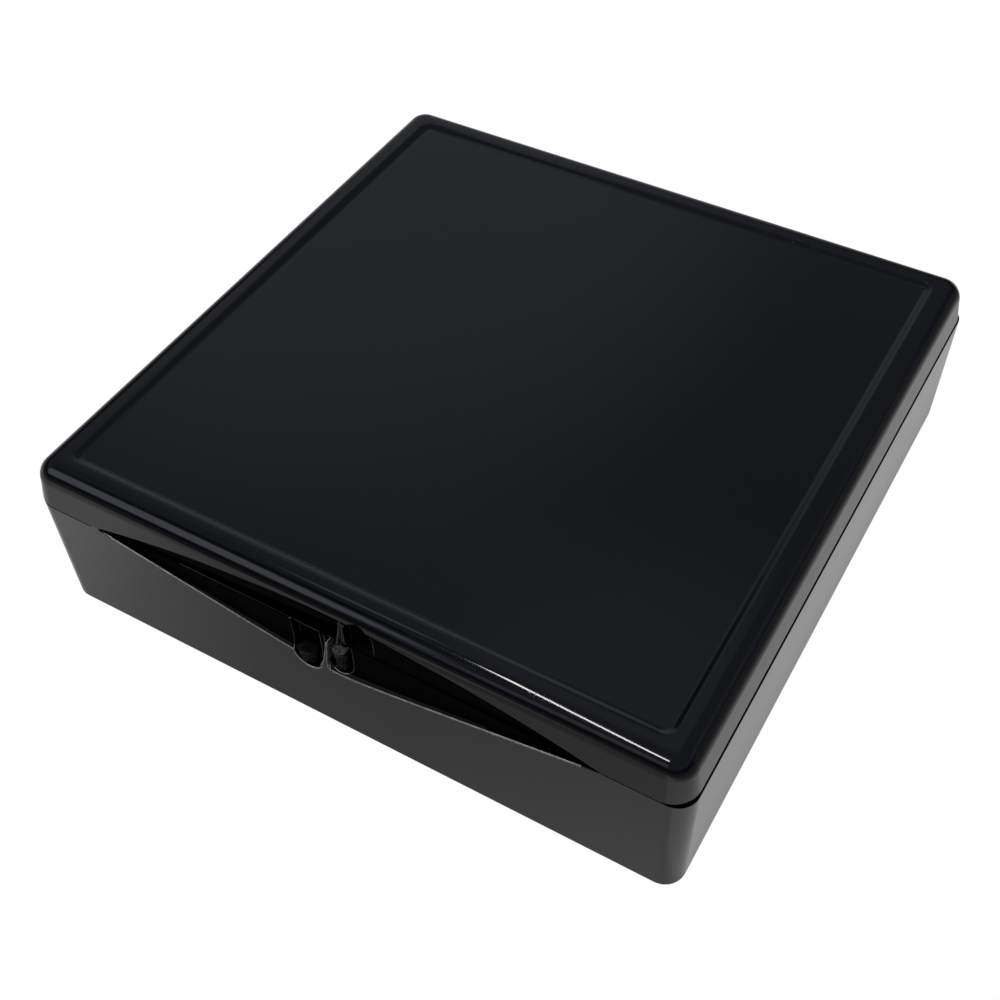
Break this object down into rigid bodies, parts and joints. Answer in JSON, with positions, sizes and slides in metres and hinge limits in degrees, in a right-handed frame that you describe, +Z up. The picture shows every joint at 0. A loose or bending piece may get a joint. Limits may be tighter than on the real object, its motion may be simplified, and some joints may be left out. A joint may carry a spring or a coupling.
{
  "type": "powder compact",
  "caption": "Square black hinged powder compact with a lens-shaped front finger notch, a mirror in the lid, and a pressed powder pan and a puff in the base.",
  "frame": {"origin": "centre of the base's flat underside", "axes": "+X to the right along the front wall, +Y towards the rear hinge, +Z up through the lid"},
  "size_m": [0.08, 0.0831, 0.0214],
  "materials": {
    "case_plastic": "moulded black styrene, glossy roundover, satin panel",
    "tray_plastic": "moulded black styrene with a fine satin texture",
    "pin_steel": "drawn wire, cut ends",
    "pan_aluminium": "pressed, satin",
    "pressed_powder": "pressed face powder, matte, with an embossed weave",
    "adhesive": "pressure-sensitive pad, dull",
    "clear_film": "thin clear dust film",
    "velour": "short cotton velour pile",
    "foam": "soft open-cell foam",
    "satin_cloth": "woven satin",
    "mirror_glass": "silvered float glass with ground edges"
  },
  "bodies": {
    "base": {"base_shell": "case_plastic", "hinge_pin": "pin_steel", "inner_tray": "tray_plastic", "pan_adhesive": "adhesive", "powder_pan": "pan_aluminium", "powder_cake": "pressed_powder", "cover_film": "clear_film", "puff_face": "velour", "puff_core": "foam", "puff_back": "satin_cloth", "puff_ribbon": "satin_cloth"},
    "lid": {"lid_shell": "case_plastic", "mirror_adhesive": "adhesive", "mirror": "mirror_glass"}
  },
  "joints": [
    {"name": "lid_hinge", "type": "hinge", "parent": "base", "child": "lid", "pos_m": [0, 0.0404, 0.0162], "axis": [-1, 0, 0], "range_deg": [0, 118]}
  ]
}
